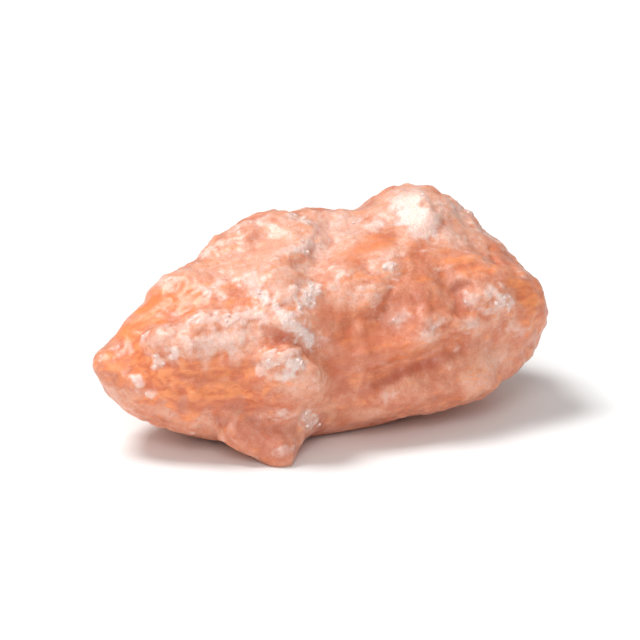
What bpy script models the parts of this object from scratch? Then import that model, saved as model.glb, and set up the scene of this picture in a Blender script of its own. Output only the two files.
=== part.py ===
"""Toffee almond: one whole roasted almond in a coat of boiled sugar that set rough and lumpy.

The nut leans on a low foot of toffee at its front edge, and on the flat place where its belly
set against the tray. It is one solid. Everything is worked out in the nut's own frame, where x
runs from the pointed tip to the blunt end, y from the front edge to the back edge across the
broad face, and z up through the thickness. The finished nut is then leaned over and set down.

A place on the nut is given by two numbers. Along is -1 at the tip and 1 at the blunt end.
Around is in degrees: 0 is the front edge, 90 the top face, 180 the back edge, 270 the belly.
"""

import math
from collections import namedtuple

import bmesh
import bpy
import numpy as np
from mathutils import Matrix, Vector, noise

MM = 0.001
TINY = 1e-9

# The coated nut, without its lumps.
NUT_LENGTH = 27.0 * MM
NUT_WIDTH = 12.5 * MM
NUT_THICKNESS = 10.7 * MM
TIP_TAPER = 0.13  # how early the nut starts to narrow towards its pointed tip
TIP_REACH = 1.06  # where the taper would close, just beyond the tip
TIP_LEAST = 0.03  # so that the tip is a small knob and not a needle
FACE_FLATNESS = 2.25  # 2 is a plain ellipse across the nut, more is squarer
END_FLATNESS = 2.40  # the same along it, for a full blunt end

# How it lies.
LEAN = math.radians(18.0)  # the back edge is this much higher than the front edge
RISE = math.radians(3.4)  # the blunt end is this much higher than the tip
FLAT_DEPTH = 0.35 * MM  # how much of the belly's curve the tray pressed flat
SET_DOWN = Matrix.Rotation(-RISE, 4, "Y") @ Matrix.Rotation(LEAN, 4, "X")
DOWN = -np.array(SET_DOWN.to_3x3().transposed() @ Vector((0, 0, 1)))

# Crust, which is rough all over but for where the skin is nearly bare and shows its grooves.
CRUST_HEIGHT = 0.30 * MM
CRUST_GRAIN = 2.3 * MM
CRUST_SEED = Vector((7.7, 1.3, 0.4))
CRUMB_HEIGHT = 0.15 * MM
CRUMB_GRAIN = 1.3 * MM
CRUMB_SEED = Vector((0.9, 4.2, 8.8))
SMOOTH_ABOVE_TRAY = 1.5 * MM  # the crust dies away over this height, as it set on a smooth tray

# Bare skin lies low on the front near the tip, and in spots elsewhere.
BARE_MIDDLE = np.array([-8.1, -4.6, 1.4]) * MM
BARE_REACH = np.array([4.0, 3.2, 2.6]) * MM
BARE_STRENGTH = 1.3
BARE_CRUST_LOSS = 0.75  # the share of the crust's height that is missing there
SPOT_GRAIN = 5.5 * MM
SPOT_SEED = Vector((3.1, 0.7, 5.2))
SPOTS_FROM = 0.12
SPOT_STRENGTH = 1.6

SKIN_GROOVES = 26  # lengthwise grooves round the whole nut
GROOVE_DEPTH = 0.10 * MM
GROOVE_WANDER = 2.2
GROOVE_WANDER_GRAIN = 6.0 * MM

# Mesh.
FACES_EACH_WAY = (40, 24, 24)  # of the cube that is blown up into the nut
SPINE_SHARE = 0.62  # the share of the nut's half length that its inner spine has
SEARCH_REACH = 13.0 * MM  # the surface is looked for this far out from the spine
SEARCH_STEP = 0.12 * MM
SEARCH_HALVINGS = 24

TOFFEE_COLOUR = (0.68, 0.31, 0.19, 1.0)
TOFFEE_ROUGHNESS = 0.38
TOFFEE_COAT = 0.5

# Lumps of toffee. Each is an ellipsoid, whose size is along the nut, round it, and outwards.
# Height is where its centre lies above the even coat, and turn twists it about the way out.
Lump = namedtuple("Lump", "along around height size turn")

LUMPS = {
    "back_shoulder": Lump(0.57, 152, -1.70 * MM, (3.8 * MM, 4.3 * MM, 3.4 * MM), 0),
    "upper_ridge": Lump(-0.01, 145, -0.35 * MM, (5.1 * MM, 2.2 * MM, 1.9 * MM), 6),
    "upper_bead": Lump(-0.52, 138, -0.85 * MM, (1.9 * MM, 1.4 * MM, 1.3 * MM), 0),
    "top_wave": Lump(-0.08, 106, -0.75 * MM, (3.2 * MM, 1.2 * MM, 1.2 * MM), 38),
    "front_wave": Lump(-0.27, 62, -0.85 * MM, (1.5 * MM, 3.0 * MM, 1.4 * MM), -14),
    "tip_crust": Lump(-0.58, 62, -0.95 * MM, (3.4 * MM, 1.5 * MM, 1.4 * MM), -10),
    "drip_head": Lump(-0.31, 20, -0.85 * MM, (2.0 * MM, 2.3 * MM, 1.7 * MM), 0),
    "fold_lip": Lump(0.30, 27, -0.75 * MM, (3.2 * MM, 0.9 * MM, 1.1 * MM), 5),
    "front_rim": Lump(0.38, 351, -1.00 * MM, (5.6 * MM, 1.7 * MM, 1.9 * MM), -5),
    "blunt_crust": Lump(0.66, 43, -0.85 * MM, (1.8 * MM, 2.0 * MM, 1.2 * MM), 20),
    "blunt_bead": Lump(0.82, 16, -0.85 * MM, (2.4 * MM, 2.8 * MM, 1.7 * MM), 0),
    "tip_nib": Lump(-0.985, 100, 0.20 * MM, (0.7 * MM, 0.7 * MM, 0.6 * MM), 0),
    "back_wave": Lump(0.02, 196, -1.30 * MM, (2.7 * MM, 2.4 * MM, 1.8 * MM), 30),
    "back_bead": Lump(-0.46, 196, -0.80 * MM, (1.6 * MM, 1.5 * MM, 1.2 * MM), 0),
    "back_crust": Lump(0.58, 218, -1.10 * MM, (2.6 * MM, 1.8 * MM, 1.6 * MM), -15),
    "under_crust": Lump(-0.46, 262, -1.30 * MM, (3.2 * MM, 2.0 * MM, 1.7 * MM), 10),
    "under_bead": Lump(0.66, 285, -0.80 * MM, (1.6 * MM, 1.6 * MM, 1.2 * MM), 0),
}
LUMP_BLEND = 1.3 * MM

# The foot is toffee that ran over the front edge and set against the tray.
FOOT_ALONG = -0.345  # where it leaves the nut
FOOT_HEAD_AROUND = 8
FOOT_HEAD_HEIGHT = -1.5 * MM
FOOT_HEAD_RADIUS = 2.1 * MM
FOOT_KNEE_AROUND = 338
FOOT_KNEE_HEIGHT = -1.3 * MM
FOOT_KNEE_RADIUS = 2.5 * MM
FOOT_TOE_AROUND = 345  # its toe is under this place on the front edge
FOOT_TOE_SHIFT = np.array([-0.55, -1.05, 0.0]) * MM  # and then this far aside and out in front
FOOT_TOE_RADIUS = 0.9 * MM
FOOT_TOE_HEIGHT = 0.5 * MM  # its middle, above the tray
FOOT_HEEL_SHIFT = np.array([-2.8, 0.1, 0.0]) * MM  # its heel is nearer the tip, under the edge
FOOT_HEEL_RADIUS = 1.0 * MM
FOOT_HEEL_HEIGHT = 1.9 * MM
FOOT_BLEND = 0.7 * MM

# Creases are pressed into the coat from one place to another, at a height above the even coat.
Crease = namedtuple("Crease", "start end radius height")

CREASES = {
    "rim_fold": Crease((0.00, 9), (0.47, 19), 0.40 * MM, 0.20 * MM),
    "under_wave": Crease((-0.42, 49), (-0.20, 37), 0.40 * MM, 0.55 * MM),
    "behind_drip": Crease((-0.20, 37), (-0.10, 8), 0.45 * MM, 0.40 * MM),
    "tip_fold": Crease((-0.72, 96), (-0.54, 84), 0.40 * MM, 0.38 * MM),
    "blunt_dent": Crease((0.50, 54), (0.51, 38), 0.45 * MM, 0.25 * MM),
    "behind_top_wave": Crease((-0.08, 88), (0.12, 104), 0.50 * MM, 0.35 * MM),
    "back_fold": Crease((-0.28, 206), (0.26, 190), 0.50 * MM, 0.40 * MM),
}
CREASE_BLEND = 1.0 * MM

# A shallow hollow in the front of the broad face, where the coat is thin.
HOLLOW = Lump(0.05, 42, 0.60 * MM, (2.9 * MM, 2.2 * MM, 1.2 * MM), 0)
HOLLOW_BLEND = 1.2 * MM


# ---------------------------------------------------------------- the coated nut


def width_share(along):
    """How wide the nut is at a place along it, against an ellipse."""
    return (np.clip(TIP_REACH + along, TIP_LEAST, None) / TIP_REACH) ** TIP_TAPER


def coated_nut(points):
    """Roughly how far each point is outside the nut's even coat, in metres. Below 0 is inside."""
    along = points[:, 0] / (NUT_LENGTH / 2)
    share = width_share(along)
    half_width = NUT_WIDTH / 2 * share
    half_thickness = NUT_THICKNESS / 2 * share
    across = np.abs(points[:, 1]) / half_width
    up = np.abs(points[:, 2]) / half_thickness
    ring = (across**FACE_FLATNESS + up**FACE_FLATNESS) ** (1 / FACE_FLATNESS)
    size = (np.abs(along) ** END_FLATNESS + ring**END_FLATNESS) ** (1 / END_FLATNESS)
    slope = np.sqrt(
        (along / (NUT_LENGTH / 2)) ** 2
        + (across / half_width) ** 2
        + (up / half_thickness) ** 2
    )
    return size * (size - 1) / (slope + TINY)


def place_on_nut(along, around, height=0.0):
    """A point on the nut's even coat, or at a height above it."""
    share = float(width_share(along)) * (1 - abs(along) ** END_FLATNESS) ** (1 / END_FLATNESS)
    across = -math.cos(math.radians(around))
    up = math.sin(math.radians(around))
    reach = (
        (abs(across) / (NUT_WIDTH / 2 * share)) ** FACE_FLATNESS
        + (abs(up) / (NUT_THICKNESS / 2 * share)) ** FACE_FLATNESS
    ) ** (-1 / FACE_FLATNESS) + height
    return np.array([along * NUT_LENGTH / 2, across * reach, up * reach])


def axes_on_nut(around, turn_degrees):
    """Directions along the nut, round it and outwards, as columns, twisted about the way out."""
    angle = math.radians(around)
    outwards = Vector((0, -math.cos(angle), math.sin(angle)))
    along = Matrix.Rotation(math.radians(turn_degrees), 3, outwards) @ Vector((1, 0, 0))
    return np.array([along, outwards.cross(along), outwards]).T


def tray_depth():
    """How far the tray lies below the spine, once the nut is leaned over and its belly pressed."""
    belly = [
        place_on_nut(along, around) @ DOWN
        for along in np.linspace(-0.6, 0.6, 61)
        for around in range(225, 300)
    ]
    return max(belly) - FLAT_DEPTH


TRAY_DEPTH = tray_depth()


# ---------------------------------------------------------------- toffee on it


def blend_in(distance, other, softness):
    """Joins two shapes with a fillet, as toffee runs into toffee."""
    mix = np.clip(0.5 + 0.5 * (distance - other) / softness, 0, 1)
    return distance * (1 - mix) + other * mix - softness * mix * (1 - mix)


def carve_out(distance, other, softness):
    """Takes the other shape away and rounds the edge that it leaves."""
    return -blend_in(-distance, other, softness)


def lump_shape(points, lump):
    """Roughly how far each point is outside a lump."""
    centre = place_on_nut(lump.along, lump.around, lump.height)
    local = (points - centre) @ axes_on_nut(lump.around, lump.turn) / lump.size
    reach = np.linalg.norm(local, axis=1)
    slope = np.linalg.norm(local / lump.size, axis=1)
    return reach * (reach - 1) / (slope + TINY)


def from_line(points, start, end):
    """How far along the line between two places each point is, from 0 to 1, and its offset."""
    way = end - start
    share = np.clip((points - start) @ way / (way @ way), 0, 1)
    return share, points - start - share[:, None] * way


def tapered_rope(points, start, end, start_radius, end_radius):
    """How far each point is outside a rope between two places, which may narrow."""
    share, offset = from_line(points, start, end)
    return np.linalg.norm(offset, axis=1) - start_radius - (end_radius - start_radius) * share


def place_below_edge(shift, height_above_tray):
    """A point aside from the front edge at the foot, at a height above the tray."""
    above = place_on_nut(FOOT_ALONG, FOOT_TOE_AROUND) + shift
    return above + DOWN * (TRAY_DEPTH - height_above_tray - above @ DOWN)


def foot(points):
    """How far each point is outside the foot: a head on the front edge, and a wedge below it."""
    head = place_on_nut(FOOT_ALONG, FOOT_HEAD_AROUND, FOOT_HEAD_HEIGHT)
    knee = place_on_nut(FOOT_ALONG, FOOT_KNEE_AROUND, FOOT_KNEE_HEIGHT)
    toe = place_below_edge(FOOT_TOE_SHIFT, FOOT_TOE_HEIGHT)
    heel = place_below_edge(FOOT_HEEL_SHIFT, FOOT_HEEL_HEIGHT)
    upper = tapered_rope(points, head, knee, FOOT_HEAD_RADIUS, FOOT_KNEE_RADIUS)
    leg = tapered_rope(points, knee, toe, FOOT_KNEE_RADIUS, FOOT_TOE_RADIUS)
    sole = tapered_rope(points, heel, toe, FOOT_HEEL_RADIUS, FOOT_TOE_RADIUS)
    return blend_in(np.minimum(upper, leg), sole, FOOT_BLEND)


def crease_shape(points, crease):
    """How far each point is outside a slot with a round bottom, which is open outwards."""
    start = place_on_nut(*crease.start, crease.height)
    end = place_on_nut(*crease.end, crease.height)
    outwards = axes_on_nut((crease.start[1] + crease.end[1]) / 2, 0)[:, 2]
    _, offset = from_line(points, start, end)
    rise = np.clip(offset @ outwards, 0, None)
    return np.linalg.norm(offset - rise[:, None] * outwards, axis=1) - crease.radius


def toffee_almond(points):
    """Roughly how far each point is outside the finished nut, before its fine crust."""
    distance = coated_nut(points)
    for lump in LUMPS.values():
        distance = blend_in(distance, lump_shape(points, lump), LUMP_BLEND)
    distance = blend_in(distance, foot(points), FOOT_BLEND)
    for crease in CREASES.values():
        distance = carve_out(distance, crease_shape(points, crease), CREASE_BLEND)
    return carve_out(distance, lump_shape(points, HOLLOW), HOLLOW_BLEND)


# ---------------------------------------------------------------- skin and crust


def bare_skin(places):
    """Where the coat is thin and the skin's grooves show, from 0 to 1."""
    offset = (places - BARE_MIDDLE) / BARE_REACH
    low_front = BARE_STRENGTH * np.exp(-(offset**2).sum(1))
    spots = np.array([noise.noise(Vector(place) / SPOT_GRAIN + SPOT_SEED) for place in places])
    return np.clip(low_front + SPOT_STRENGTH * np.clip(spots - SPOTS_FROM, 0, None), 0, 1)


def crust(place):
    """How far the crust stands out at a place, with its waves and its crumbs."""
    waves = CRUST_HEIGHT * noise.noise(place / CRUST_GRAIN + CRUST_SEED)
    crumbs = CRUMB_HEIGHT * noise.noise(place / CRUMB_GRAIN + CRUMB_SEED)
    return waves + crumbs


def grooves(place):
    """How far the bare skin stands out at a place, with its lengthwise grooves."""
    angle = math.atan2(place.z * NUT_WIDTH / NUT_THICKNESS, -place.y)
    wander = GROOVE_WANDER * noise.noise(place / GROOVE_WANDER_GRAIN)
    return GROOVE_DEPTH * math.cos(SKIN_GROOVES * angle + wander)


def relief(places):
    """How far the surface stands out at each place. It is smooth where it set against the tray."""
    bare = bare_skin(places)
    crust_height = np.array([crust(Vector(place)) for place in places])
    groove_height = np.array([grooves(Vector(place)) for place in places])
    height = (1 - BARE_CRUST_LOSS * bare) * crust_height + bare * groove_height
    above_tray = TRAY_DEPTH - places @ DOWN
    return height * np.clip(above_tray / SMOOTH_ABOVE_TRAY, 0, 1)


# ---------------------------------------------------------------- the mesh


def blown_up_cube():
    """A cube cut into a grid on each side, with its corners moved out evenly onto a sphere."""
    mesh = bmesh.new()
    bmesh.ops.create_cube(mesh, size=2.0)
    for way, faces in zip(np.eye(3), FACES_EACH_WAY):
        for place in np.linspace(-1, 1, faces + 1)[1:-1]:
            everything = mesh.verts[:] + mesh.edges[:] + mesh.faces[:]
            bmesh.ops.bisect_plane(mesh, geom=everything, plane_co=way * place, plane_no=way)
    for vert in mesh.verts:
        vert.co = Vector(math.tan(c * math.pi / 4) for c in vert.co).normalized()
    return mesh


def surface_out_from_spine(directions):
    """Where the nut's surface lies, each way out from its spine. The outermost crossing counts."""
    spine = np.zeros_like(directions)
    spine[:, 0] = directions[:, 0] * NUT_LENGTH / 2 * SPINE_SHARE
    outside = np.full(len(directions), SEARCH_REACH)
    inside = outside - SEARCH_STEP
    found = np.zeros(len(directions), bool)
    while not found.all():
        found = toffee_almond(spine + directions * inside[:, None]) < 0
        outside = np.where(found, outside, inside)
        inside = np.where(found, inside, inside - SEARCH_STEP)
    for _ in range(SEARCH_HALVINGS):
        middle = (inside + outside) / 2
        within = toffee_almond(spine + directions * middle[:, None]) < 0
        inside = np.where(within, middle, inside)
        outside = np.where(within, outside, middle)
    return spine + directions * inside[:, None]


def place_verts(mesh, places):
    for vert, place in zip(mesh.verts, places):
        vert.co = place
    mesh.normal_update()


def press_flat(mesh):
    """Cuts the belly and the toe off along the tray's plane and closes them with flat faces."""
    everything = mesh.verts[:] + mesh.edges[:] + mesh.faces[:]
    bmesh.ops.bisect_plane(
        mesh, geom=everything, plane_co=(0, 0, 0), plane_no=(0, 0, -1), clear_outer=True
    )
    open_edges = [edge for edge in mesh.edges if edge.is_boundary]
    bmesh.ops.holes_fill(mesh, edges=open_edges, sides=0)
    bmesh.ops.triangulate(mesh, faces=mesh.faces[:])


def build_mesh():
    """The finished nut, set down with the middle of its footprint at the origin."""
    mesh = blown_up_cube()
    directions = np.array([vert.co for vert in mesh.verts])
    place_verts(mesh, surface_out_from_spine(directions))
    places = np.array([vert.co for vert in mesh.verts])
    normals = np.array([vert.normal for vert in mesh.verts])
    place_verts(mesh, places + normals * relief(places)[:, None])
    onto_tray = Matrix.Translation((0, 0, TRAY_DEPTH)) @ SET_DOWN
    bmesh.ops.transform(mesh, matrix=onto_tray, verts=mesh.verts)
    press_flat(mesh)
    corners = np.array([vert.co for vert in mesh.verts])
    middle = (corners.min(0) + corners.max(0)) / 2
    bmesh.ops.translate(mesh, vec=(-middle[0], -middle[1], 0), verts=mesh.verts)
    return mesh


def toffee_material():
    material = bpy.data.materials.new("toffee")
    material.use_nodes = True
    shader = material.node_tree.nodes["Principled BSDF"]
    shader.inputs["Base Color"].default_value = TOFFEE_COLOUR
    shader.inputs["Roughness"].default_value = TOFFEE_ROUGHNESS
    shader.inputs["Coat Weight"].default_value = TOFFEE_COAT
    return material


def main():
    for old in list(bpy.data.objects):
        bpy.data.objects.remove(old)
    mesh = build_mesh()
    data = bpy.data.meshes.new("toffee_almond")
    mesh.to_mesh(data)
    mesh.free()
    data.materials.append(toffee_material())
    data.shade_smooth()
    nut = bpy.data.objects.new("toffee_almond", data)
    bpy.context.scene.collection.objects.link(nut)


main()
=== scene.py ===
import math
import random
from collections import namedtuple

import bpy
import numpy as np
from mathutils import Euler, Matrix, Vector, noise


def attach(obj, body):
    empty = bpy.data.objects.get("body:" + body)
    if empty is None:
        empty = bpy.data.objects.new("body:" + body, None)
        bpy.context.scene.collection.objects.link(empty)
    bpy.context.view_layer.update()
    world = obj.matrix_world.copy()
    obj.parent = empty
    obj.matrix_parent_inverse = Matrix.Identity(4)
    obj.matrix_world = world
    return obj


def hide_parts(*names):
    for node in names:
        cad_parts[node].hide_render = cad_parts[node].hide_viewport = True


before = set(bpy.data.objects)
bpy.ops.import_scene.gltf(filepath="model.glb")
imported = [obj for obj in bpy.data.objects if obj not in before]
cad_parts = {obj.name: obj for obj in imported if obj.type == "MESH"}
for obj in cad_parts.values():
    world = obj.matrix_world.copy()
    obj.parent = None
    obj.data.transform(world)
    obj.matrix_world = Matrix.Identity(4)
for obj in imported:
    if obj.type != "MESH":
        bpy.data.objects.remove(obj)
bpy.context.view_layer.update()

# ---------------------------------------------------------------- the coated nut
# A roasted almond that was stirred in boiling sugar until it grained, and then until some of
# it melted again to toffee, all in one lump. It starts as a merged copy of the solid, pearls
# of toffee are stuck on and melted in, and its crust is raised.

MM = 0.001
MERGE_GAP = 0.001 * MM

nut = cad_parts["toffee_almond"]
bpy.ops.object.select_all(action="DESELECT")
coat = bpy.data.objects.new("toffee_coat", nut.data.copy())
bpy.context.scene.collection.objects.link(coat)
bpy.context.view_layer.objects.active = coat
coat.select_set(True)
bpy.ops.object.mode_set(mode="EDIT")
bpy.ops.mesh.select_all(action="SELECT")
bpy.ops.mesh.remove_doubles(threshold=MERGE_GAP)
bpy.ops.object.mode_set(mode="OBJECT")

Spot = namedtuple("Spot", "place normal")
LEAST_PULL = 0.01  # keeps the pulls of a face's corners from adding up to nothing


def spots_on(piece, count, seed, share=None):
    """Seeded places on a piece's skin. Share says how likely each face is for its area."""
    mesh = piece.data
    likely = np.array([face.area for face in mesh.polygons])
    if share is not None:
        corners = np.array([np.mean([share[v] for v in face.vertices]) for face in mesh.polygons])
        likely = likely * corners
    draw = random.Random(seed)
    faces = draw.choices(range(len(likely)), weights=likely, k=count)
    spots = []
    for index in faces:
        face = mesh.polygons[index]
        pulls = [draw.random() + LEAST_PULL for _ in face.vertices]
        place = sum((mesh.vertices[v].co * pull for v, pull in zip(face.vertices, pulls)), Vector())
        spots.append(Spot(place / sum(pulls), face.normal.copy()))
    return spots


# Pearls are modelled once, as a round drop that is a little flattened, and copied.
PEARL_COUNT = 180
PEARL_RADIUS = 0.34 * MM
PEARL_SIZES = (0.55, 1.35)
PEARL_LENGTHS = (0.8, 1.5)
PEARL_WIDTHS = (0.8, 1.2)
PEARL_FLATNESS = 0.7
PEARL_SINK = 0.45  # the share of its radius that its middle lies below the skin
PEARLS_ABOVE_BOARD = 1.6 * MM

draw = random.Random(11)
pearls = []
for spot in spots_on(coat, PEARL_COUNT, seed=3):
    if spot.place.z < PEARLS_ABOVE_BOARD:
        continue
    size = draw.uniform(*PEARL_SIZES) ** 2
    bpy.ops.mesh.primitive_ico_sphere_add(
        subdivisions=2,
        radius=PEARL_RADIUS * size,
        location=spot.place - spot.normal * PEARL_RADIUS * size * PEARL_SINK,
        rotation=spot.normal.to_track_quat("Z", "Y").to_euler(),
        scale=(draw.uniform(*PEARL_LENGTHS), draw.uniform(*PEARL_WIDTHS), PEARL_FLATNESS),
    )
    pearls.append(bpy.context.object)
bpy.ops.object.select_all(action="DESELECT")
for piece in pearls + [coat]:
    piece.select_set(True)
bpy.context.view_layer.objects.active = coat
bpy.ops.object.join()


def finish_with(piece, kind, **settings):
    """Adds a modifier to a piece and applies it."""
    bpy.context.view_layer.objects.active = piece
    bpy.ops.object.modifier_add(type=kind)
    modifier = piece.modifiers[-1]
    for name, value in settings.items():
        setattr(modifier, name, value)
    bpy.ops.object.modifier_apply(modifier=modifier.name)


SKIN_FINENESS = 0.123 * MM
finish_with(coat, "REMESH", mode="VOXEL", voxel_size=SKIN_FINENESS, use_smooth_shade=True)
finish_with(coat, "SMOOTH", factor=0.5, iterations=2)

# What the coat is like from place to place. Each stroke runs from one place to another, in
# millimetres, with a radius, a strength up to 1 and a soft edge that noise breaks up.
Stroke = namedtuple("Stroke", "start end radius strength")

# Sugar that grained: crumbly, pale and raised.
GRAINED = [
    Stroke((-4.6, -2.9, 9.5), (-4.2, -4.3, 8.9), 0.32, 0.75),
    Stroke((-4.2, -4.3, 8.9), (-3.7, -5.0, 8.3), 0.34, 0.9),
    Stroke((-3.7, -5.0, 8.3), (-2.3, -5.1, 7.0), 0.44, 1.0),
    Stroke((-1.1, -0.8, 10.8), (0.5, 0.2, 10.8), 0.35, 0.8),
    Stroke((-2.4, -0.9, 10.9), (-1.0, -0.6, 10.9), 0.60, 0.45),
    Stroke((-4.4, -1.3, 10.0), (-4.6, -2.9, 9.5), 0.38, 0.65),
    Stroke((-2.5, -4.3, 8.8), (-1.3, -3.4, 9.4), 0.45, 0.9),
    Stroke((-3.4, -4.2, 9.2), (-2.0, -3.1, 9.7), 0.32, 0.5),
    Stroke((-0.1, -3.5, 9.4), (0.7, -3.1, 9.9), 0.30, 0.5),
    Stroke((-5.7, -5.6, 5.9), (-5.2, -6.0, 6.4), 0.28, 0.75),
    Stroke((-4.7, -6.5, 5.4), (-4.4, -6.5, 5.8), 0.30, 0.9),
    Stroke((-4.2, -6.5, 6.1), (-3.5, -6.4, 6.3), 0.36, 1.0),
    Stroke((-12.4, -1.5, 5.4), (-12.3, -1.7, 5.2), 0.24, 0.4),
    Stroke((-12.0, -2.1, 5.1), (-11.9, -2.3, 4.9), 0.28, 0.7),
    Stroke((-11.5, -2.7, 4.4), (-11.4, -2.8, 4.3), 0.26, 0.6),
    Stroke((-11.0, -2.6, 6.1), (-10.9, -2.7, 6.2), 0.34, 0.8),
    Stroke((-10.3, -3.4, 6.7), (-10.2, -3.5, 6.8), 0.40, 0.9),
    Stroke((-11.2, -2.2, 6.9), (-10.8, -2.7, 7.6), 0.36, 0.4),
    Stroke((-10.6, -2.5, 7.9), (-8.6, -3.0, 8.5), 0.36, 0.45),
    Stroke((-8.6, -3.0, 8.5), (-5.1, -4.0, 8.6), 0.45, 0.6),
    Stroke((-9.5, -3.8, 7.4), (-6.4, -4.4, 7.5), 0.42, 0.5),
    Stroke((-8.3, -4.1, 6.9), (-7.1, -4.4, 6.9), 0.36, 0.4),
    Stroke((-11.3, -1.6, 7.0), (-10.4, -3.0, 7.0), 0.26, 0.4),
    Stroke((-6.8, -0.8, 9.2), (-6.1, -0.5, 9.5), 0.35, 0.6),
    Stroke((-3.2, 3.4, 11.2), (-1.5, 2.8, 11.7), 0.45, 0.4),
    Stroke((0.4, 2.7, 11.6), (0.8, 1.9, 11.5), 0.45, 0.8),
    Stroke((0.2, -0.6, 10.3), (2.6, 2.1, 11.2), 0.9, 0.36),
    Stroke((7.9, -0.8, 11.1), (8.9, -1.8, 10.3), 0.8, 0.42),
    Stroke((3.6, -3.3, 9.9), (3.8, -3.1, 10.0), 0.26, 1.0),
    Stroke((7.8, -5.2, 7.8), (8.1, -5.3, 7.9), 0.30, 0.6),
    Stroke((9.2, -5.4, 8.1), (10.1, -5.6, 7.4), 0.40, 0.8),
    Stroke((7.4, -6.0, 6.9), (7.9, -6.0, 6.6), 0.35, 0.5),
    Stroke((10.5, -5.5, 6.0), (11.4, -5.5, 5.3), 0.35, 0.4),
    Stroke((3.1, -5.4, 7.3), (3.6, -5.4, 7.6), 0.28, 0.5),
    Stroke((4.6, -6.6, 6.6), (4.9, -6.6, 6.8), 0.45, 0.6),
    Stroke((2.0, -6.5, 3.2), (2.2, -6.5, 3.3), 0.24, 0.45),
    Stroke((-2.9, -5.7, 2.5), (-2.2, -5.2, 1.9), 0.45, 0.7),
]
# Sugar that melted again to a smooth pale glaze. Its pale colour is partly sugar and partly a
# painted highlight, above all on the shoulder facet.
GLAZED = [
    Stroke((6.6, 1.6, 12.1), (6.8, 0.1, 11.7), 0.60, 0.85),
    Stroke((6.8, 0.1, 11.7), (7.4, -0.9, 11.1), 0.95, 0.9),
    Stroke((4.2, 0.3, 11.0), (4.9, 0.6, 11.2), 0.50, 0.75),
    Stroke((-3.9, -4.8, 8.5), (-2.6, -5.2, 7.2), 0.35, 0.8),
]
# Where the coat is thick and clouded, but smooth. Some strokes, by the wave and along the bottom
# edge, also paint light on places that lie in shade.
CLOUDY = [
    Stroke((-8.0, 0.2, 9.2), (-4.0, 0.6, 10.6), 2.2, 0.6),
    Stroke((-8.3, -2.9, 8.6), (-5.0, -3.0, 9.2), 1.4, 0.5),
    Stroke((-3.5, -1.0, 10.5), (2.0, 0.8, 11.0), 2.2, 1.0),
    Stroke((6.5, 0.8, 12.0), (9.5, 0.5, 11.2), 2.0, 1.0),
    Stroke((-1.7, -0.3, 11.0), (1.5, 2.4, 11.3), 1.0, 1.0),
    Stroke((3.8, 1.4, 11.0), (4.6, 0.0, 11.0), 0.7, 0.4),
    Stroke((3.7, -2.5, 10.3), (6.2, -1.0, 10.8), 0.8, 1.0),
    Stroke((1.1, -3.6, 9.6), (2.9, -3.1, 10.0), 0.7, 0.5),
    Stroke((0.2, -4.2, 8.7), (1.7, -4.4, 9.0), 0.7, 0.9),
    Stroke((6.7, -0.6, 11.2), (7.6, -2.0, 10.3), 0.8, 0.8),
    Stroke((-11.4, -1.2, 6.9), (-9.5, -3.8, 7.4), 0.6, 0.5),
    Stroke((-9.5, -3.8, 7.4), (-6.0, -4.4, 7.6), 0.9, 1.0),
    Stroke((-7.0, -3.3, 8.6), (-5.4, -3.7, 8.7), 0.7, 0.7),
    Stroke((-8.9, -4.0, 6.9), (-7.1, -4.5, 6.9), 0.7, 1.0),
    Stroke((-3.6, -3.6, 9.6), (-1.4, -3.9, 8.8), 0.8, 0.9),
    Stroke((-2.7, -5.4, 1.9), (1.3, -5.9, 1.9), 0.5, 0.7),
    Stroke((7.6, -6.3, 3.4), (9.6, -5.6, 4.0), 0.8, 0.8),
    Stroke((7.8, -1.5, 10.6), (9.6, -4.6, 9.1), 0.8, 0.5),
    Stroke((-6.6, -5.2, 2.6), (-3.9, -6.2, 1.6), 0.9, 0.5),
    Stroke((-5.4, -6.0, 6.3), (-3.5, -6.6, 5.0), 1.3, 0.6),
    Stroke((7.6, -5.0, 8.2), (10.8, -5.0, 7.8), 1.2, 0.35),
    Stroke((11.0, -5.6, 5.4), (3.0, -6.6, 3.4), 0.9, 0.2),
    Stroke((-12.6, -1.6, 4.0), (-8.0, -4.2, 2.6), 0.7, 0.5),
    Stroke((-9.0, 3.6, 7.0), (2.0, 5.5, 9.0), 2.2, 0.6),
]
# Where the toffee ran smooth.
SMOOTH = [
    Stroke((2.1, -1.5, 10.5), (3.9, -1.1, 10.7), 1.0, 0.9),
    Stroke((-2.9, -0.1, 10.6), (1.4, 2.3, 11.4), 1.2, 0.9),
    Stroke((7.4, -0.6, 11.4), (9.2, -1.4, 10.3), 0.9, 0.9),
    Stroke((-10.4, 1.0, 7.9), (-8.3, 0.4, 8.9), 1.2, 1.0),
    Stroke((-11.4, 0.5, 7.3), (-9.9, 0.9, 8.2), 1.0, 1.0),
    Stroke((-0.8, -4.3, 8.4), (1.2, -5.3, 6.7), 1.2, 0.8),
    Stroke((-0.5, -5.7, 5.9), (3.4, -6.2, 6.4), 1.5, 1.0),
    Stroke((3.7, -5.5, 7.6), (5.9, -5.3, 8.1), 1.0, 0.7),
    Stroke((-1.7, -5.1, 1.9), (1.8, -6.4, 2.7), 1.2, 0.9),
    Stroke((1.8, -6.4, 2.7), (7.5, -6.4, 3.3), 1.3, 0.9),
    Stroke((7.5, -6.4, 3.3), (10.7, -5.3, 4.4), 1.2, 0.7),
    Stroke((0.8, -6.2, 3.3), (5.0, -6.1, 4.6), 1.2, 0.8),
]
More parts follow.
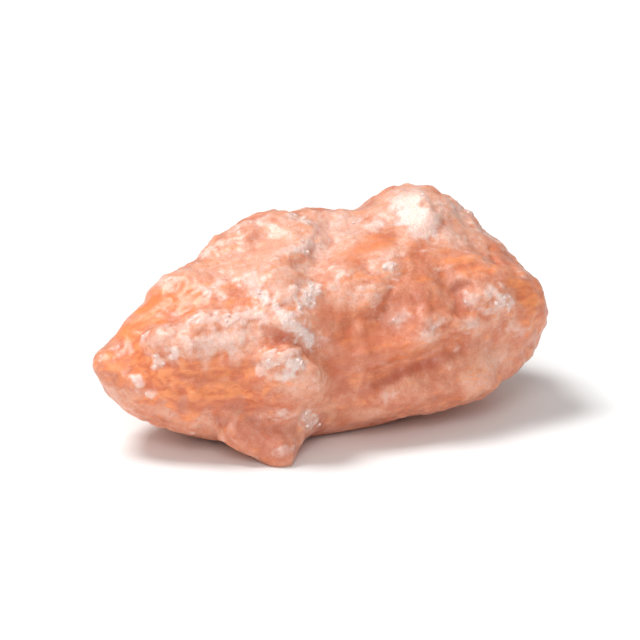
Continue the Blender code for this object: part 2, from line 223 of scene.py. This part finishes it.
# Where toffee gathered thick and dark in the folds. This darkening, in the folds, under the wave,
# low on the rim and on the foot, is partly painted shade.
POOLED_AND_SHADE = [
    Stroke((2.8, -4.9, 7.8), (4.7, -5.6, 8.0), 0.8, 0.6),
    Stroke((2.6, -5.2, 7.2), (4.1, -6.3, 7.3), 0.6, 0.45),
    Stroke((0.6, -6.0, 3.4), (1.9, -6.1, 4.0), 0.26, 0.8),
    Stroke((1.9, -6.1, 4.0), (5.3, -6.1, 4.8), 0.26, 1.0),
    Stroke((5.3, -6.1, 4.8), (8.0, -6.0, 5.4), 0.26, 0.6),
    Stroke((2.3, -6.3, 2.4), (5.1, -6.5, 2.7), 0.26, 0.5),
    Stroke((-4.4, -4.9, 7.4), (-2.5, -5.5, 6.1), 0.45, 0.5),
    Stroke((-1.1, -4.2, 8.4), (-0.9, -5.5, 6.3), 0.60, 0.5),
    Stroke((-0.9, -5.5, 6.3), (-0.6, -5.8, 4.1), 0.60, 0.6),
    Stroke((-1.0, -5.2, 7.0), (1.0, -5.8, 6.1), 1.1, 0.45),
    Stroke((7.5, -4.6, 8.4), (7.1, -5.6, 7.1), 0.40, 0.7),
    Stroke((-9.8, -3.7, 3.7), (-5.6, -5.6, 3.5), 0.45, 0.6),
    Stroke((-9.8, -3.8, 5.4), (-6.3, -5.5, 5.1), 0.26, 0.5),
    Stroke((-8.5, -4.3, 6.0), (-6.2, -5.3, 6.1), 0.45, 0.25),
    Stroke((-7.2, -4.9, 3.4), (-6.0, -5.5, 3.8), 0.35, 0.7),
    Stroke((-1.6, -3.5, 0.3), (-1.7, -5.1, 1.9), 0.50, 0.8),
    Stroke((1.2, 0.8, 10.9), (2.4, 2.8, 11.4), 0.5, 0.2),
    Stroke((-7.6, -4.6, 3.1), (-6.0, -5.5, 2.3), 0.7, 0.5),
    Stroke((-6.5, -5.3, 2.5), (-5.5, -6.4, 1.2), 0.9, 0.7),
    Stroke((-5.5, -6.4, 1.2), (-4.2, -5.9, 2.3), 0.7, 0.6),
]
# Where it is thin and clear over the brown skin.
AMBER = [
    Stroke((-12.4, -1.4, 5.9), (-9.7, -3.5, 6.0), 1.0, 0.9),
    Stroke((-10.8, -3.0, 4.9), (-6.6, -5.0, 4.9), 1.45, 1.0),
    Stroke((-9.7, 1.0, 8.2), (-7.6, -0.6, 8.9), 1.0, 1.0),
    Stroke((-11.4, -0.1, 7.2), (-9.6, 0.0, 8.0), 0.9, 0.9),
    Stroke((-6.2, -2.6, 8.9), (-4.9, -2.8, 9.2), 0.5, 0.8),
    Stroke((-3.9, -2.4, 10.4), (-0.2, -0.7, 10.3), 0.36, 0.5),
    Stroke((2.1, -1.7, 10.4), (4.1, -1.3, 10.6), 0.8, 0.50),
    Stroke((5.5, -2.6, 10.3), (7.3, -3.6, 9.6), 0.8, 0.35),
    Stroke((8.2, -3.3, 9.9), (10.7, -4.6, 8.7), 1.1, 0.65),
    Stroke((10.7, -4.6, 8.7), (12.3, -5.3, 6.4), 1.0, 0.8),
    Stroke((11.6, -5.2, 7.4), (11.9, -5.3, 5.4), 0.7, 0.85),
    Stroke((-1.0, -4.7, 7.8), (2.5, -6.0, 6.2), 1.2, 0.25),
    Stroke((12.6, -1.5, 7.0), (12.3, -3.6, 5.6), 1.5, 0.75),
    Stroke((-9.3, 4.0, 5.6), (-4.0, 6.0, 6.4), 2.0, 0.8),
    Stroke((4.0, 6.4, 8.4), (9.0, 5.4, 8.0), 2.0, 0.6),
]

# A stroke is full out to 0.3 of its radius, and gone at 1.85.
STROKE_FULL = 1.2
STROKE_FADE = 0.65


def painted(places, strokes, ragged, grain, reach=1.0):
    """How strongly strokes cover each place, from 0 to 1, with a ragged edge."""
    cover = np.zeros(len(places))
    wander = np.array([noise.noise(Vector(place) / grain) for place in places])
    for stroke in strokes:
        start = np.array(stroke.start) * MM
        way = np.array(stroke.end) * MM - start
        along = np.clip((places - start) @ way / (way @ way), 0, 1)
        gap = np.linalg.norm(places - start - along[:, None] * way, axis=1)
        gap = gap / (stroke.radius * reach * MM)
        soft = np.clip(STROKE_FULL - STROKE_FADE * gap + ragged * wander, 0, 1)
        cover = np.maximum(cover, stroke.strength * soft * soft * (3 - 2 * soft))
    return cover


BOARD_TOUCH = 0.1 * MM  # up to this height the board it cooled on kept the toffee flat
BOARD_FADE = 1.2 * MM
PATCH_GRAIN = 2.6 * MM
PATCH_LAYERS = (1.0, 2.0, 4)  # how fast they fade, how much finer each is, and how many
SMEAR_GRAIN = 0.9 * MM
SMEAR_LENGTH = 2.2  # how many times longer than wide the smears of sugar are
SMEAR_LAYERS = (0.9, 2.0, 4)

places = np.array([vert.co for vert in coat.data.vertices])
normals = np.array([vert.normal for vert in coat.data.vertices])
off_board = np.clip((places[:, 2] - BOARD_TOUCH) / BOARD_FADE, 0, 1)
patches = np.array([noise.fractal(Vector(p) / PATCH_GRAIN, *PATCH_LAYERS) for p in places])
lengthways = places * (1 / SMEAR_LENGTH, 1.0, 1.0) / SMEAR_GRAIN
smears = np.array([noise.fractal(Vector(p), *SMEAR_LAYERS) for p in lengthways])

# On the back and the blunt end it grained in seeded spots and short smears, whose lengths and
# radii are in millimetres too.
SPOT_COUNT = 40
SPOT_LENGTHS = (0.1, 1.8)
SPOT_RADII = (0.20, 0.42)
SPOT_STRENGTHS = (0.35, 0.85)
BACKWARDS = (0.45, 0.90, 0.0)
BACK_EDGE = 0.15  # how far round to the front the spots reach

draw = random.Random(41)
behind = np.clip(normals @ BACKWARDS + BACK_EDGE, 0, 1) * off_board
for spot in spots_on(coat, SPOT_COUNT, seed=23, share=behind):
    way = Vector([draw.uniform(-1, 1) for _ in range(3)])
    way = (way - way.dot(spot.normal) * spot.normal).normalized() * draw.uniform(*SPOT_LENGTHS)
    start = spot.place / MM
    radius = draw.uniform(*SPOT_RADII)
    GRAINED.append(Stroke(start, start + way, radius, draw.uniform(*SPOT_STRENGTHS)))

amber = painted(places, AMBER, ragged=0.7, grain=0.8 * MM)
grained = painted(places, GRAINED, ragged=0.85, grain=0.38 * MM)
glazed = painted(places, GLAZED, ragged=0.6, grain=0.5 * MM)
pooled_and_shade = painted(places, POOLED_AND_SHADE, ragged=0.5, grain=0.6 * MM)
smooth = painted(places, SMOOTH, ragged=0.6, grain=1.2 * MM)

# The toffee is also clouded round the sugar that grained, and less so where it is thin.
MIST_STRENGTH = 0.7
MIST_LOST_IN_AMBER = 0.6

misted = painted(places, GRAINED, ragged=0.9, grain=0.80 * MM, reach=2.6)
cloudy = painted(places, CLOUDY, ragged=0.7, grain=1.4 * MM)
cloudy = np.maximum(cloudy, MIST_STRENGTH * misted) * (1 - MIST_LOST_IN_AMBER * amber)

# Thin smears of sugar lie all over, but not where the coat is clear or ran smooth.
SMEARS_IN_PATCHES = 0.5
SMEARS_IN_CLOUDS = 0.1
SMEAR_START = 0.42
SMEAR_RISE = 1.8
SMEAR_MOST = 0.5

scattered = smears + SMEARS_IN_PATCHES * patches + SMEARS_IN_CLOUDS * cloudy - SMEAR_START
scattered = np.clip(scattered * SMEAR_RISE, 0, SMEAR_MOST) * (1 - amber)
grained = np.maximum(grained, scattered * (1 - smooth) * off_board)

# The crust is rougher in patches and where sugar grained, and lower everywhere else.
CRUST_LEVEL = 0.45
CRUST_IN_PATCHES = 0.8
CRUST_IN_SUGAR = 0.5
CRUST_LEAST = 0.15
CRUST_LOST_IN_AMBER = 0.8
CRUST_LOST_IN_CLOUDS = 0.55
CRUST_LOST_IN_SMOOTH = 0.6

crusty = CRUST_LEVEL + CRUST_IN_PATCHES * patches + CRUST_IN_SUGAR * grained
crusty = np.clip(crusty, CRUST_LEAST, 1) * (1 - CRUST_LOST_IN_AMBER * amber) * (1 - glazed)
crusty = crusty * (1 - CRUST_LOST_IN_CLOUDS * cloudy) * (1 - CRUST_LOST_IN_SMOOTH * smooth)


def vertex_group(piece, name, weights):
    """Names where on a piece a modifier works, and how strongly."""
    group = piece.vertex_groups.new(name=name)
    for index, weight in enumerate(weights):
        group.add((index,), float(weight), "REPLACE")


def raise_with(piece, name, group, height, grain, kind="CLOUDS", middle=0.5, along=None, **look):
    """Raises a piece's skin by a noise of the given grain, where a vertex group says."""
    texture = bpy.data.textures.new(name, kind)
    texture.noise_scale = grain
    for key, value in look.items():
        setattr(texture, key, value)
    finish_with(
        piece,
        "DISPLACE",
        texture=texture,
        texture_coords="OBJECT" if along else "LOCAL",
        texture_coords_object=along,
        strength=height,
        mid_level=middle,
        vertex_group=group,
    )


DOME_MIDDLE = 0.2  # the share of its height that a dome rises, while creases sink by the rest


def domes(piece, name, group, height, grain):
    """Raises round knobs, with creases between them, over a piece's skin."""
    look = {"distance_metric": "DISTANCE_SQUARED", "color_mode": "INTENSITY"}
    raise_with(piece, name, group, -height, grain, kind="VORONOI", middle=DOME_MIDDLE, **look)


# The wrinkles of the skin run along the nut, which lies leaning and with its blunt end raised.
LEAN = math.radians(18.0)
RISE = math.radians(3.4)
WRINKLE_LENGTH = 9.0  # how many times longer than wide

bpy.ops.object.empty_add(rotation=(LEAN, -RISE, 0))
length = bpy.context.object
length.scale = (WRINKLE_LENGTH, 1.0, 1.0)
bpy.context.view_layer.update()

# They stand highest where the coat is thin, and fade on the faces that look up.
WRINKLES_EVERYWHERE = 0.12
LOOKS_UP = 0.25  # where that begins, by the upright part of the normal
LOOKS_UP_RISE = 0.35
WRINKLES_LOST_ABOVE = 0.85
SUGAR_HEIGHT_IN_GLAZE = 0.6

facing_up = np.clip((normals[:, 2] - LOOKS_UP) / LOOKS_UP_RISE, 0, 1)
wrinkled = np.clip(WRINKLES_EVERYWHERE + amber - smooth, 0, 1)

vertex_group(coat, "all over", off_board)
vertex_group(coat, "run smooth", smooth * (1 - pooled_and_shade))
vertex_group(coat, "crust", off_board * crusty)
vertex_group(coat, "crumbly", off_board * np.clip(grained, 0, 1) * (1 - glazed))
vertex_group(coat, "sugared", off_board * np.maximum(grained, SUGAR_HEIGHT_IN_GLAZE * glazed))
vertex_group(coat, "skin", off_board * wrinkled * (1 - WRINKLES_LOST_ABOVE * facing_up))
finish_with(coat, "SMOOTH", factor=0.5, iterations=31, vertex_group="run smooth")
raise_with(coat, "melted waves", "all over", height=0.28 * MM, grain=1.2 * MM, noise_depth=2)
domes(coat, "lumps", "crust", height=0.50 * MM, grain=1.15 * MM)
domes(coat, "knobs", "crust", height=0.19 * MM, grain=0.60 * MM)
raise_with(
    coat, "skin wrinkles", "skin", height=0.15 * MM, grain=0.42 * MM, along=length, noise_depth=1
)
finish_with(coat, "SMOOTH", factor=0.5, iterations=1)
domes(coat, "crumbs", "crumbly", height=0.11 * MM, grain=0.38 * MM)
raise_with(coat, "sugar", "sugared", height=0.16 * MM, grain=0.55 * MM, middle=0.0)
raise_with(
    coat,
    "pits",
    "crust",
    height=0.08 * MM,
    grain=0.28 * MM,
    noise_basis="IMPROVED_PERLIN",
    noise_depth=2,
)
bpy.data.objects.remove(length)

# The glaze on the shoulder set as one flat facet. Nothing goes below the board.
FACET_MIDDLE = np.array([6.95, 0.3, 11.6]) * MM
FACET_FACING = np.array([-0.454, -0.378, 0.806])
FACET_RADIUS = 2.0 * MM
FACET_FLATNESS = 0.94
FACET_EDGE = 2.0  # it is full to half its radius
FACET_IN_GLAZE = 1.5

mesh = coat.data
raised = np.array([vert.co for vert in mesh.vertices])
gap = np.linalg.norm(raised - FACET_MIDDLE, axis=1) / FACET_RADIUS
facet = np.clip(FACET_EDGE - FACET_EDGE * gap, 0, 1) * np.clip(glazed * FACET_IN_GLAZE, 0, 1)
height = (raised - FACET_MIDDLE) @ FACET_FACING
level = (height * facet).sum() / facet.sum()
raised += (FACET_FLATNESS * facet * (level - height))[:, None] * FACET_FACING
raised[:, 2] = np.maximum(raised[:, 2], 0)
mesh.vertices.foreach_set("co", raised.astype(np.float32).ravel())


def write_on(piece, name, values):
    """Keeps a value for each place of a piece, for its finish to read."""
    attribute = piece.data.attributes.new(name, "FLOAT", "POINT")
    attribute.data.foreach_set("value", np.asarray(values, np.float32))


WEARING = 0.9  # how much one round of wearing down evens a place out


def standing(piece, rounds, height):
    """How far each place of a piece stands out of its surroundings: half is level with them."""
    bpy.ops.object.select_all(action="DESELECT")
    piece.select_set(True)
    bpy.context.view_layer.objects.active = piece
    bpy.ops.object.duplicate()
    worn = bpy.context.object
    finish_with(worn, "SMOOTH", factor=WEARING, iterations=rounds)
    level = np.array([vert.co for vert in worn.data.vertices])
    bpy.data.objects.remove(worn)
    skin = np.array([vert.co for vert in piece.data.vertices])
    outwards = np.array([vert.normal for vert in piece.data.vertices])
    return np.clip(0.5 + ((skin - level) * outwards).sum(1) / height, 0, 1)


write_on(coat, "grained", grained)
write_on(coat, "glazed", glazed)
write_on(coat, "pooled_and_shade", pooled_and_shade)
write_on(coat, "amber", amber)
write_on(coat, "cloudy", cloudy)
write_on(coat, "even", smooth)
write_on(coat, "knob", standing(coat, rounds=20, height=0.34 * MM))
write_on(coat, "grain", standing(coat, rounds=3, height=0.09 * MM))

CARAMEL = (0.645, 0.178, 0.078)
PALE_CARAMEL = (0.82, 0.395, 0.258)
POOLED_AND_SHADE_TOFFEE = (0.52, 0.120, 0.057)
AMBER_CLEAR = (0.94, 0.312, 0.098)
HONEY = (0.92, 0.21, 0.036)
SKIN_BROWN = (0.67, 0.150, 0.052)
GRAINED_SUGAR = (0.88, 0.69, 0.63)


class Finish:
    """A finish, made of shader nodes that are added one after another."""

    def __init__(self, name):
        self.material = bpy.data.materials.new(name)
        self.material.use_nodes = True
        self.tree = self.material.node_tree
        self.shader = self.tree.nodes["Principled BSDF"]
        self.coordinates = self.add("ShaderNodeTexCoord").outputs["Object"]

    def add(self, kind, inputs=(), **settings):
        made = self.tree.nodes.new(kind)
        for name, value in settings.items():
            setattr(made, name, value)
        self.fill(made, inputs)
        return made

    def fill(self, node, inputs):
        """Links another node's output to each input, or sets it to a plain value."""
        for name, value in dict(inputs).items():
            if isinstance(value, bpy.types.NodeSocket):
                self.tree.links.new(value, node.inputs[name])
            else:
                node.inputs[name].default_value = value

    def written(self, name):
        """What write_on kept for each place."""
        return self.add("ShaderNodeAttribute", attribute_name=name).outputs["Fac"]

    def along_nut(self, squeeze):
        """Coordinates that draw a pattern out along the nut's length."""
        turn = (-LEAN, RISE, 0)
        inputs = {"Vector": self.coordinates, "Rotation": turn, "Scale": (squeeze, 1.0, 1.0)}
        return self.add("ShaderNodeMapping", inputs).outputs[0]

    def noise(self, grain, detail=2.0, rough=0.5, where=None):
        inputs = {
            "Vector": where or self.coordinates,
            "Scale": 1 / grain,
            "Detail": detail,
            "Roughness": rough,
        }
        return self.add("ShaderNodeTexNoise", inputs).outputs["Fac"]

    def cells(self, grain):
        inputs = {"Vector": self.coordinates, "Scale": 1 / grain}
        return self.add("ShaderNodeTexVoronoi", inputs).outputs["Distance"]

    def between(self, value, low, high, start=0.0, end=1.0):
        """Goes smoothly from start, where the value is low, to end, where it is high."""
        inputs = {0: value, 1: low, 2: high, 3: start, 4: end}
        return self.add("ShaderNodeMapRange", inputs, interpolation_type="SMOOTHSTEP").outputs[0]

    def reckon(self, operation, first, second):
        return self.add("ShaderNodeMath", {0: first, 1: second}, operation=operation).outputs[0]

    def times(self, first, second):
        return self.reckon("MULTIPLY", first, second)

    def plus(self, first, second, share=None):
        if share is not None:
            second = self.times(second, share)
        return self.reckon("ADD", first, second)

    def mix(self, share, first, second):
        """The first colour, with a share of the second over it."""
        first = (*first, 1.0) if isinstance(first, tuple) else first
        second = (*second, 1.0) if isinstance(second, tuple) else second
        inputs = {0: share, 6: first, 7: second}
        return self.add("ShaderNodeMix", inputs, data_type="RGBA").outputs[2]

    def bump(self, height, depth, strength, over=None):
        inputs = {"Height": height, "Distance": depth, "Strength": strength}
        if over is not None:
            inputs["Normal"] = over
        return self.add("ShaderNodeBump", inputs).outputs[0]


toffee = Finish("grained toffee")
in_grained = toffee.written("grained")
in_glazed = toffee.written("glazed")
in_amber = toffee.written("amber")
in_cloudy = toffee.written("cloudy")
in_pooled = toffee.written("pooled_and_shade")
in_even = toffee.written("even")
knob_light_and_shade = toffee.written("knob")
grain_light_and_shade = toffee.written("grain")

# The toffee is paler where it is clouded, and on its knobs, where the paleness is painted light.
clouds_and_knob_light = toffee.noise(grain=1.1 * MM, detail=6.0, rough=0.72)
clouds_and_knob_light = toffee.plus(clouds_and_knob_light, in_cloudy, share=0.34)
clouds_and_knob_light = toffee.plus(clouds_and_knob_light, knob_light_and_shade, share=0.40)
colour = toffee.mix(toffee.between(clouds_and_knob_light, low=0.55, high=1.05), CARAMEL, PALE_CARAMEL)

# It is clear in short windows along the nut, and browner in its small hollows, as painted shade.
windows = toffee.noise(grain=0.55 * MM, detail=4.0, rough=0.65, where=toffee.along_nut(0.35))
windows = toffee.between(windows, low=0.50, high=0.72, end=0.65)
colour = toffee.mix(windows, colour, AMBER_CLEAR)
mottle_and_hollow_shade = toffee.noise(grain=0.40 * MM, detail=4.0, rough=0.7)
mottle_and_hollow_shade = toffee.plus(mottle_and_hollow_shade, grain_light_and_shade, share=0.6)
colour = toffee.mix(toffee.between(mottle_and_hollow_shade, low=0.80, high=0.50, end=0.5), colour, CARAMEL)

# A bloom of sugar lies on it, more where it is clouded and less where it ran smooth.
bloom = toffee.noise(grain=0.34 * MM, detail=6.0, rough=0.78)
bloom = toffee.plus(bloom, in_cloudy, share=0.16)
bloom = toffee.plus(bloom, in_even, share=-0.08)
colour = toffee.mix(toffee.between(bloom, low=0.52, high=0.86, end=0.65), colour, GRAINED_SUGAR)
dust = toffee.noise(grain=0.11 * MM, detail=2.0, rough=0.6)
colour = toffee.mix(toffee.between(dust, low=0.50, high=0.78, end=0.45), colour, PALE_CARAMEL)
colour = toffee.mix(toffee.between(dust, low=0.48, high=0.25, end=0.40), colour, POOLED_AND_SHADE_TOFFEE)

# Where the coat is thin, the skin's lengthwise wrinkles show through it.
SKIN_SHOWS = 0.88
HONEY_DEPTH = 0.62

clear = toffee.times(in_amber, toffee.noise(grain=0.6 * MM, detail=4.0))
clear = toffee.between(clear, low=0.12, high=0.48)
lines = toffee.noise(grain=0.50 * MM, detail=3.0, rough=0.6, where=toffee.along_nut(0.13))
# The skin lines are lighter on raised bits, as painted light.
lines = toffee.plus(lines, grain_light_and_shade, share=0.25)
skin = toffee.mix(toffee.between(lines, low=0.46, high=0.76), SKIN_BROWN, AMBER_CLEAR)
colour = toffee.mix(toffee.times(clear, SKIN_SHOWS), colour, skin)
honey = toffee.times(toffee.times(in_amber, in_even), HONEY_DEPTH)
colour = toffee.mix(honey, colour, HONEY)

# The creases between the knobs are darkened as painted shade. The folds where toffee gathered thick
# are dark, partly as painted shade.
POOLED_AND_SHADE_DEPTH = 0.75

# Low places between the knobs get the dark toffee colour: painted shade.
knobs = toffee.plus(knob_light_and_shade, in_even, share=0.2)
colour = toffee.mix(toffee.between(knobs, low=0.38, high=0.0, end=0.55), colour, POOLED_AND_SHADE_TOFFEE)
colour = toffee.mix(toffee.times(in_pooled, POOLED_AND_SHADE_DEPTH), colour, POOLED_AND_SHADE_TOFFEE)

# Grained sugar and glaze cover all of that. The sugar is whiter on raised bits, as painted light.
frosted_and_crest_light = toffee.plus(in_grained, grain_light_and_shade, share=0.5)
speckle = toffee.noise(grain=0.30 * MM, detail=5.0, rough=0.75)
frosted_and_crest_light = toffee.plus(frosted_and_crest_light, speckle, share=0.7)
frosted_and_crest_light = toffee.between(frosted_and_crest_light, low=0.55, high=1.75, end=0.92)
# The glaze's pale colour is partly a painted highlight.
glaze = toffee.plus(in_glazed, toffee.noise(grain=0.8 * MM, detail=5.0, rough=0.7))
glaze = toffee.between(glaze, low=0.70, high=1.45, end=0.70)
frost = toffee.reckon("MAXIMUM", frosted_and_crest_light, glaze)
colour = toffee.mix(frost, colour, GRAINED_SUGAR)

# The dust and the crystals of the sugar stand up a little.
dusted = toffee.bump(dust, depth=0.05 * MM, strength=0.6)
crystals = toffee.times(toffee.cells(grain=0.17 * MM), frost)
crystals = toffee.bump(crystals, depth=0.10 * MM, strength=0.6, over=dusted)
toffee.fill(
    toffee.shader,
    {
        "Base Color": colour,
        "Roughness": toffee.between(in_grained, low=0.1, high=0.8, start=0.38, end=0.50),
        "Subsurface Weight": 0.35,
        "Subsurface Radius": (1.0, 0.42, 0.22),
        "Subsurface Scale": 0.8 * MM,
        "Coat Weight": 0.4,
        "Coat Roughness": 0.33,
        "Normal": crystals,
    },
)
coat.data.materials.clear()
coat.data.materials.append(toffee.material)
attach(coat, "root")
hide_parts("toffee_almond")

# ---------------------------------------------------------------- the sugar grains
# Where the sugar grained, loose crystals are stuck in the toffee, half sunk and at every
# angle. A grain is a small block with its corners broken off, modelled once and copied.

GRAIN_COUNT = 150
GRAIN_SIZE = 0.115 * MM
GRAIN_SIZES = (0.6, 1.7)
GRAIN_STRETCHES = (0.7, 1.3)
GRAIN_CORNER = 0.28  # the share of its side that is broken off
GRAIN_SINK = 0.55
GRAINS_ABOVE_BOARD = 0.8 * MM
GRAINS_IN_SUGAR = 0.45  # how strongly it has to be grained for them
SUGAR = (0.92, 0.76, 0.70)

bpy.ops.mesh.primitive_cube_add(size=1.0)
block = bpy.context.object
bpy.ops.object.mode_set(mode="EDIT")
bpy.ops.mesh.select_all(action="SELECT")
bpy.ops.mesh.bevel(offset=GRAIN_CORNER, segments=1, affect="VERTICES")
bpy.ops.object.mode_set(mode="OBJECT")
block_corners = np.array([vert.co for vert in block.data.vertices])
block_faces = [tuple(face.vertices) for face in block.data.polygons]
bpy.data.objects.remove(block)

crumbly = np.clip(grained - GRAINS_IN_SUGAR, 0, 1) * (1 - glazed)
share = crumbly * standing(coat, rounds=3, height=0.09 * MM) ** 2
draw = random.Random(29)
corners = []
faces = []
for spot in spots_on(coat, GRAIN_COUNT, seed=17, share=share):
    if spot.place.z < GRAINS_ABOVE_BOARD:
        continue
    size = GRAIN_SIZE * draw.uniform(*GRAIN_SIZES)
    stretch = np.array([draw.uniform(*GRAIN_STRETCHES) for _ in range(3)])
    turn = Euler([draw.uniform(0, math.tau) for _ in range(3)]).to_matrix()
    middle = np.array(spot.place + spot.normal * size * (0.5 - GRAIN_SINK))
    faces.extend(tuple(v + len(corners) for v in face) for face in block_faces)
    corners.extend(block_corners * stretch * size @ np.array(turn).T + middle)
grain_mesh = bpy.data.meshes.new("sugar_grains")
grain_mesh.from_pydata([tuple(corner) for corner in corners], [], faces)
grains = bpy.data.objects.new("sugar_grains", grain_mesh)
bpy.context.scene.collection.objects.link(grains)

sugar = Finish("sugar grains")
tint = sugar.between(sugar.noise(grain=1.0 * MM), low=0.35, high=0.65)
sugar.fill(
    sugar.shader,
    {
        "Base Color": sugar.mix(tint, GRAINED_SUGAR, SUGAR),
        "Roughness": 0.32,
        "Subsurface Weight": 0.15,
        "Subsurface Radius": (1.0, 0.7, 0.55),
        "Subsurface Scale": 0.05 * MM,
    },
)
grain_mesh.materials.append(sugar.material)
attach(grains, "root")

# ---------------------------------------------------------------- the studio
# The nut lies on plain white paper. A soft light stands high at the back left and a larger,
# weaker one at the front left, in an even white room.

FLOOR_SIZE = 3.0
PAPER_GRAIN = 0.2
PAPER = (0.91, 0.93, 0.93)
PAPER_LIGHT = (0.93, 0.95, 0.95)

bpy.ops.mesh.primitive_plane_add(size=FLOOR_SIZE)
floor = bpy.context.object
floor.name = "floor"
paper = Finish("white paper")
paper_tone = paper.mix(paper.noise(grain=PAPER_GRAIN), PAPER, PAPER_LIGHT)
paper.fill(paper.shader, {"Base Color": paper_tone, "Roughness": 0.8})
floor.data.materials.append(paper.material)


def soft_light(name, place, size, power):
    """A square soft light that faces the nut."""
    lamp = bpy.data.lights.new(name, "AREA")
    lamp.size = size
    lamp.energy = power
    light = bpy.data.objects.new(name, lamp)
    light.location = place
    light.rotation_euler = Vector(place).to_track_quat("Z", "Y").to_euler()
    bpy.context.scene.collection.objects.link(light)


soft_light("back left light", place=(-0.15, 0.10, 0.40), size=0.16, power=1.53)
soft_light("front light", place=(-0.20, -0.34, 0.30), size=0.24, power=0.74)

ROOM_LIGHT = 0.39
world = bpy.data.worlds.new("white room")
bpy.context.scene.world = world
world.use_nodes = True
world.node_tree.nodes["Background"].inputs["Color"].default_value = (1, 1, 1, 1)
world.node_tree.nodes["Background"].inputs["Strength"].default_value = ROOM_LIGHT
bpy.context.scene.view_settings.view_transform = "Standard"

# ---------------------------------------------------------------- the camera
# It stands to the left in front of the nut and a little above it, as for the photograph, and
# frames it closely.

AZIMUTH = math.radians(-26.0)
ELEVATION = math.radians(20.0)
DISTANCE = 0.40
VIEW_WIDTH = 37.65 * MM  # what the picture's width takes in at the nut
AIM_RIGHT = 0.68 * MM
AIM_UP = 5.75 * MM
SENSOR_WIDTH = 36.0
NEAR_LIMIT = 0.01

back = Vector(
    (
        math.sin(AZIMUTH) * math.cos(ELEVATION),
        -math.cos(AZIMUTH) * math.cos(ELEVATION),
        math.sin(ELEVATION),
    )
)
turn = back.to_track_quat("Z", "Y")
aim = turn @ Vector((AIM_RIGHT, AIM_UP, 0))
camera = bpy.data.objects.new("camera", bpy.data.cameras.new("camera"))
camera.location = aim + back * DISTANCE
camera.rotation_mode = "QUATERNION"
camera.rotation_quaternion = turn
camera.data.sensor_width = SENSOR_WIDTH
camera.data.lens = SENSOR_WIDTH * DISTANCE / VIEW_WIDTH
camera.data.clip_start = NEAR_LIMIT
bpy.context.scene.collection.objects.link(camera)
bpy.context.scene.camera = camera
